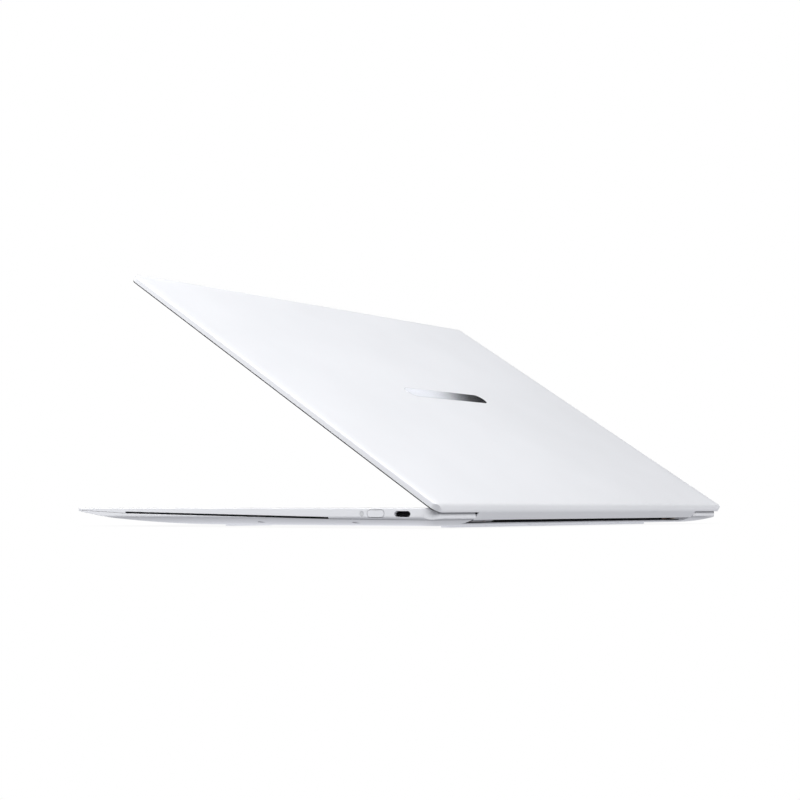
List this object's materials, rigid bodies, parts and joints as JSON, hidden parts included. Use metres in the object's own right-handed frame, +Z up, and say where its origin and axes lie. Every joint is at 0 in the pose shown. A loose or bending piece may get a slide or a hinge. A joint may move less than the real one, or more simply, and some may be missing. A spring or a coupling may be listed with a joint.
{
  "type": "laptop computer",
  "caption": "Thin white clamshell laptop with a wedge-fronted base, keyboard, wide touchpad, side ports and a hinged screen lid that wraps the rear edge.",
  "frame": {"origin": "middle of the base's footprint, on the desk under its feet", "axes": "+X towards the user's right, +Y towards the hinge, +Z up"},
  "size_m": [0.31, 0.2233, 0.1277],
  "materials": {
    "white_shell": "light alloy with a smooth satin white coating",
    "white_keys": "fine matt white keycaps",
    "white_pad": "satin white touchpad glass",
    "pale_rubber": "pale grey rubber feet",
    "black_seal": "black sealing frame",
    "black_plastic": "black moulded plastic",
    "screen_black": "glossy black screen glass",
    "panel_grey": "grey display panel",
    "badge_metal": "mirror polished plain badge",
    "port_steel": "formed steel port shells and fasteners",
    "hinge_steel": "hardened steel hinge pieces",
    "bronze": "bronze friction washers",
    "plate_metal": "stamped aluminium",
    "copper": "copper, finely brushed",
    "board": "solder-masked circuit board",
    "chip": "chip packages",
    "light_guide": "white light guide sheet",
    "led_lens": "frosted lens",
    "battery": "pouch cells in black wrap",
    "magnet": "nickel plated magnets"
  },
  "bodies": {
    "base": {"top_case": "white_shell", "bottom_cover": "white_shell", "bottom_screws": "port_steel", "rubber_feet": "pale_rubber", "vent_grille": "black_plastic", "side_grilles": "black_plastic", "status_led": "led_lens", "power_switch": "black_plastic", "usb_port_shells": "port_steel", "usb_port_tongues": "black_plastic", "io_boards": "board", "touchpad_glass": "white_pad", "touchpad_module": "board", "keyboard_plate": "plate_metal", "keyboard_backlight": "light_guide", "mainboard": "board", "processor": "chip", "memory_chips": "chip", "cold_plate": "copper", "heat_pipes": "copper", "fin_stacks": "plate_metal", "fan_housing_left": "black_plastic", "fan_housing_right": "black_plastic", "ssd_module": "board", "wifi_module": "board", "ribbon_cables": "black_plastic", "battery_cells": "battery", "battery_frame": "black_plastic", "battery_board": "board", "speaker_left": "black_plastic", "speaker_right": "black_plastic", "hinge_bracket_left": "hinge_steel", "hinge_bracket_right": "hinge_steel", "hinge_screws": "port_steel", "hinge_washers": "bronze"},
    "lid": {"lid_cover": "white_shell", "lid_badge": "badge_metal", "screen_gasket": "black_seal", "screen_glass": "screen_black", "display_panel": "panel_grey", "webcam_module": "black_plastic", "lid_magnets": "magnet", "hinge_pins": "hinge_steel", "hinge_arm_left": "hinge_steel", "hinge_arm_right": "hinge_steel"},
    "power_button": {"power_button": "white_shell"},
    "fan_rotor_left": {"fan_rotor_left": "black_plastic"},
    "fan_rotor_right": {"fan_rotor_right": "black_plastic"},
    "function_keys": {"function_keys": "white_keys"},
    "number_keys": {"number_keys": "white_keys"},
    "upper_letter_keys": {"upper_letter_keys": "white_keys"},
    "home_letter_keys": {"home_letter_keys": "white_keys"},
    "lower_letter_keys": {"lower_letter_keys": "white_keys"},
    "modifier_keys": {"modifier_keys": "white_keys"},
    "arrow_keys": {"arrow_keys": "white_keys"},
    "space_bar": {"space_bar": "white_keys"},
    "enter_key": {"enter_key": "white_keys"},
    "backspace_key": {"backspace_key": "white_keys"}
  },
  "joints": [
    {"name": "lid_hinge", "type": "hinge", "parent": "base", "child": "lid", "pos_m": [0, 0.1065, 0.0054], "axis": [-1, 0, 0], "range_deg": [-32.5, 75]},
    {"name": "power_button_press", "type": "slide", "parent": "base", "child": "power_button", "axis": [-1, 0, 0], "range_m": [0, 0.0003]},
    {"name": "function_keys_travel", "type": "slide", "parent": "base", "child": "function_keys", "axis": [0, 0, -1], "range_m": [0, 0.0011]},
    {"name": "number_keys_travel", "type": "slide", "parent": "base", "child": "number_keys", "axis": [0, 0, -1], "range_m": [0, 0.0011]},
    {"name": "upper_letter_keys_travel", "type": "slide", "parent": "base", "child": "upper_letter_keys", "axis": [0, 0, -1], "range_m": [0, 0.0011]},
    {"name": "home_letter_keys_travel", "type": "slide", "parent": "base", "child": "home_letter_keys", "axis": [0, 0, -1], "range_m": [0, 0.0011]},
    {"name": "lower_letter_keys_travel", "type": "slide", "parent": "base", "child": "lower_letter_keys", "axis": [0, 0, -1], "range_m": [0, 0.0011]},
    {"name": "modifier_keys_travel", "type": "slide", "parent": "base", "child": "modifier_keys", "axis": [0, 0, -1], "range_m": [0, 0.0011]},
    {"name": "arrow_keys_travel", "type": "slide", "parent": "base", "child": "arrow_keys", "axis": [0, 0, -1], "range_m": [0, 0.0011]},
    {"name": "space_bar_travel", "type": "slide", "parent": "base", "child": "space_bar", "axis": [0, 0, -1], "range_m": [0, 0.0011]},
    {"name": "enter_key_travel", "type": "slide", "parent": "base", "child": "enter_key", "axis": [0, 0, -1], "range_m": [0, 0.0011]},
    {"name": "backspace_key_travel", "type": "slide", "parent": "base", "child": "backspace_key", "axis": [0, 0, -1], "range_m": [0, 0.0011]},
    {"name": "fan_left_spin", "type": "hinge", "parent": "base", "child": "fan_rotor_left", "pos_m": [-0.098, 0.061, 0.0037], "axis": [0, 0, 1], "continuous": true},
    {"name": "fan_right_spin", "type": "hinge", "parent": "base", "child": "fan_rotor_right", "pos_m": [0.098, 0.061, 0.0037], "axis": [0, 0, 1], "continuous": true}
  ]
}
